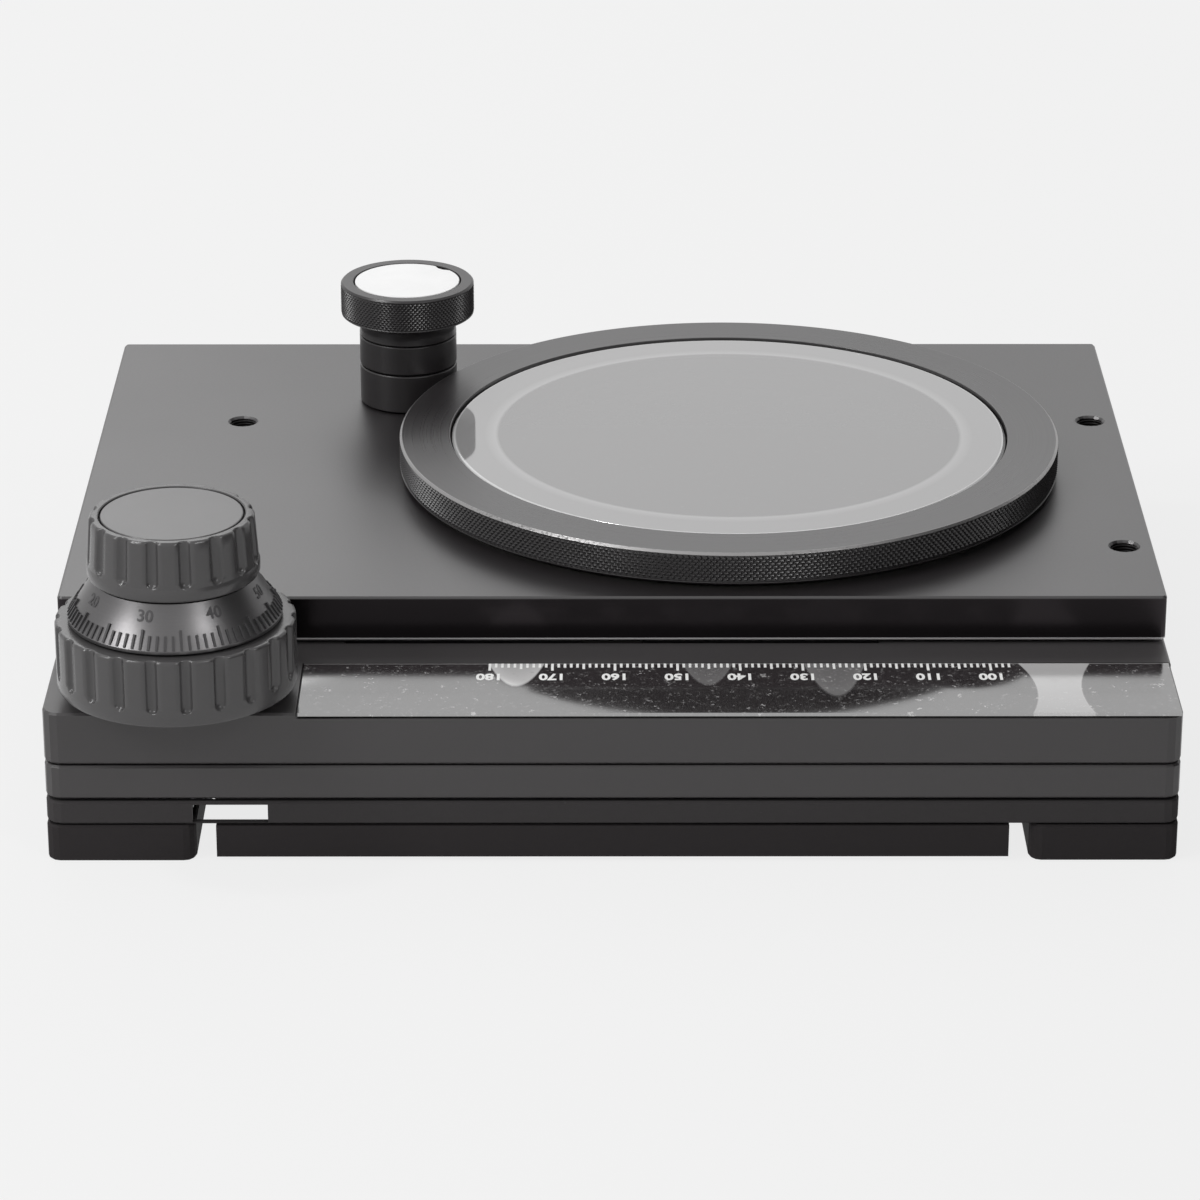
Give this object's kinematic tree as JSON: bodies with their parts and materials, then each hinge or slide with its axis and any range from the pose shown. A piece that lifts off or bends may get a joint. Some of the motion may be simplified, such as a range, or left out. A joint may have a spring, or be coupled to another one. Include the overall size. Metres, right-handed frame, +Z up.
{
  "type": "mechanical microscope stage",
  "caption": "Two-axis mechanical microscope stage with stacked plates, coaxial fluted knobs, a rotating knurled glass specimen ring and a post-mounted clamp knob.",
  "frame": {"origin": "centre of the footprint's box on the surface that the feet rest on", "axes": "+X along the front edge to the right, away from the drive knobs; +Y from the scale ledge to the back; +Z up out of the top plate"},
  "size_m": [0.18, 0.1624, 0.0567],
  "materials": {
    "black_anodised": "satin black anodised",
    "top_anodised": "fine matt black anodised",
    "ring_anodised": "satin black anodised with a knurled rim",
    "knob_plastic": "satin moulded",
    "knob_cap": "satin moulded",
    "dial_plastic": "satin with engraved divisions",
    "bearing_steel": "ground",
    "screw_steel": "black oxide",
    "drive_brass": "machined",
    "stage_glass": "polished with a fine haze",
    "white_disc": "plain white",
    "scale_film": "glossy black with a plain white millimetre scale",
    "glide_nylon": "natural nylon"
  },
  "bodies": {
    "base": {"base_frame": "black_anodised", "left_foot_rail": "black_anodised", "right_foot_rail": "black_anodised", "front_skirt": "black_anodised", "rear_skirt": "black_anodised", "foot_screw_1": "screw_steel", "foot_screw_2": "screw_steel", "foot_screw_3": "screw_steel", "foot_screw_4": "screw_steel", "y_rack": "bearing_steel", "rack_screw_1": "screw_steel", "rack_screw_2": "screw_steel", "rack_screw_3": "screw_steel", "y_rail_base_left": "bearing_steel", "y_rail_base_right": "bearing_steel"},
    "y_carriage": {"lower_carriage": "black_anodised", "upper_carriage": "black_anodised", "carriage_screw_1": "screw_steel", "carriage_screw_2": "screw_steel", "carriage_screw_3": "screw_steel", "carriage_screw_4": "screw_steel", "scale_strip": "scale_film", "y_rail_carriage_left": "bearing_steel", "y_rail_carriage_right": "bearing_steel", "x_rail_carriage_front": "bearing_steel", "x_rail_carriage_rear": "bearing_steel", "drive_wire": "bearing_steel", "idler_pin": "bearing_steel", "knob_bush": "drive_brass"},
    "y_cages": {"y_cage_left": "drive_brass", "y_cage_right": "drive_brass"},
    "x_cages": {"x_cage_front": "drive_brass", "x_cage_rear": "drive_brass"},
    "x_carriage": {"top_plate": "top_anodised", "x_rail_top_front": "bearing_steel", "x_rail_top_rear": "bearing_steel", "wire_bracket": "screw_steel", "glide_ring": "glide_nylon", "clamp_post_lower": "black_anodised", "clamp_post_upper": "black_anodised"},
    "ring": {"specimen_ring": "ring_anodised", "stage_glass": "stage_glass", "ring_retainer": "black_anodised"},
    "clamp": {"clamp_knob": "black_anodised", "clamp_disc": "white_disc", "clamp_spindle": "bearing_steel"},
    "x_drive": {"x_knob": "knob_plastic", "x_shaft": "bearing_steel", "x_drum": "drive_brass"},
    "y_drive": {"y_knob": "knob_plastic", "y_knob_cap": "knob_cap", "y_dial": "dial_plastic", "y_shaft": "bearing_steel", "y_pinion": "drive_brass"},
    "idler": {"idler_drum": "drive_brass"}
  },
  "joints": [
    {"name": "y_travel", "type": "slide", "parent": "base", "child": "y_carriage", "axis": [0, 1, 0], "range_m": [0, 0.05]},
    {"name": "y_cage_travel", "type": "slide", "parent": "base", "child": "y_cages", "axis": [0, 1, 0], "range_m": [0, 0.025]},
    {"name": "x_travel", "type": "slide", "parent": "y_carriage", "child": "x_carriage", "axis": [1, 0, 0], "range_m": [-0.038, 0.038]},
    {"name": "x_cage_travel", "type": "slide", "parent": "y_carriage", "child": "x_cages", "axis": [1, 0, 0], "range_m": [-0.019, 0.019]},
    {"name": "ring_turn", "type": "hinge", "parent": "x_carriage", "child": "ring", "pos_m": [0.0203, 0.01765, 0.0377], "axis": [0, 0, 1], "continuous": true},
    {"name": "clamp_turn", "type": "hinge", "parent": "x_carriage", "child": "clamp", "pos_m": [-0.03621, 0.05174, 0.0468], "axis": [0, 0, 1], "range_deg": [0, 90]},
    {"name": "x_knob_turn", "type": "hinge", "parent": "y_carriage", "child": "x_drive", "pos_m": [-0.0689, -0.06215, 0.0283], "axis": [0, 0, 1], "range_deg": [-436, 436]},
    {"name": "idler_turn", "type": "hinge", "parent": "y_carriage", "child": "idler", "pos_m": [0.076, -0.06215, 0.0205], "axis": [0, 0, 1], "range_deg": [-436, 436]},
    {"name": "y_knob_turn", "type": "hinge", "parent": "y_carriage", "child": "y_drive", "pos_m": [-0.0689, -0.06215, 0.0469], "axis": [0, 0, 1], "range_deg": [-597.5, 0]}
  ],
  "couplings": [
    {"joint": "y_cage_travel", "follows": "y_travel", "ratio": 0.5},
    {"joint": "x_cage_travel", "follows": "x_travel", "ratio": 0.5},
    {"joint": "x_knob_turn", "follows": "x_travel", "rad_per_m": -200},
    {"joint": "idler_turn", "follows": "x_travel", "rad_per_m": -200},
    {"joint": "y_knob_turn", "follows": "y_travel", "rad_per_m": -208.33}
  ]
}
